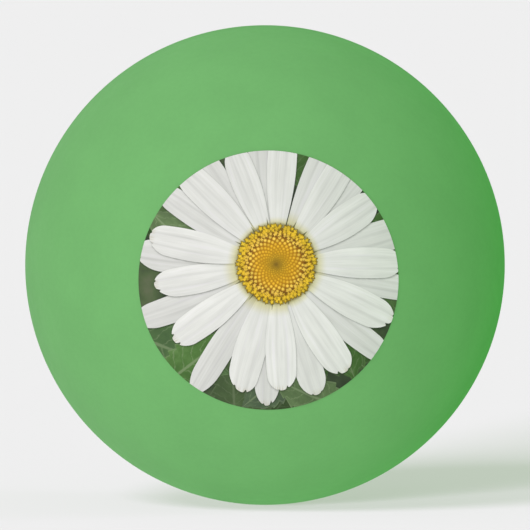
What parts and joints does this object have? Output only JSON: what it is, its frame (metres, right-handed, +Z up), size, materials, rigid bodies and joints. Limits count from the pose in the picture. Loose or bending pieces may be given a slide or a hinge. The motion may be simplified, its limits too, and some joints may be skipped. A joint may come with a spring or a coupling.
{
  "type": "table tennis ball",
  "caption": "Hollow green table tennis ball made of two bonded half shells, with a round daisy picture printed on its front.",
  "frame": {"origin": "the centre of the ball", "axes": "+Z up; the printed picture faces -Y, so the camera side is -Y; +X is to the right of someone who looks at the picture; the seam between the half shells lies in the XZ plane"},
  "size_m": [0.04, 0.0401, 0.04],
  "materials": {
    "green_abs": "satin, finely sanded moulded plastic",
    "solvent_cement": "glossy, slightly paler than the shell",
    "white_ink": "satin white ink",
    "picture_ink": "satin full-colour ink: white petals, yellow flower disc, dark green leaves"
  },
  "bodies": {
    "root": {"front_half_shell": "green_abs", "rear_half_shell": "green_abs", "seam_cement": "solvent_cement", "print_white_base": "white_ink", "print_colour_film": "picture_ink"}
  },
  "joints": []
}
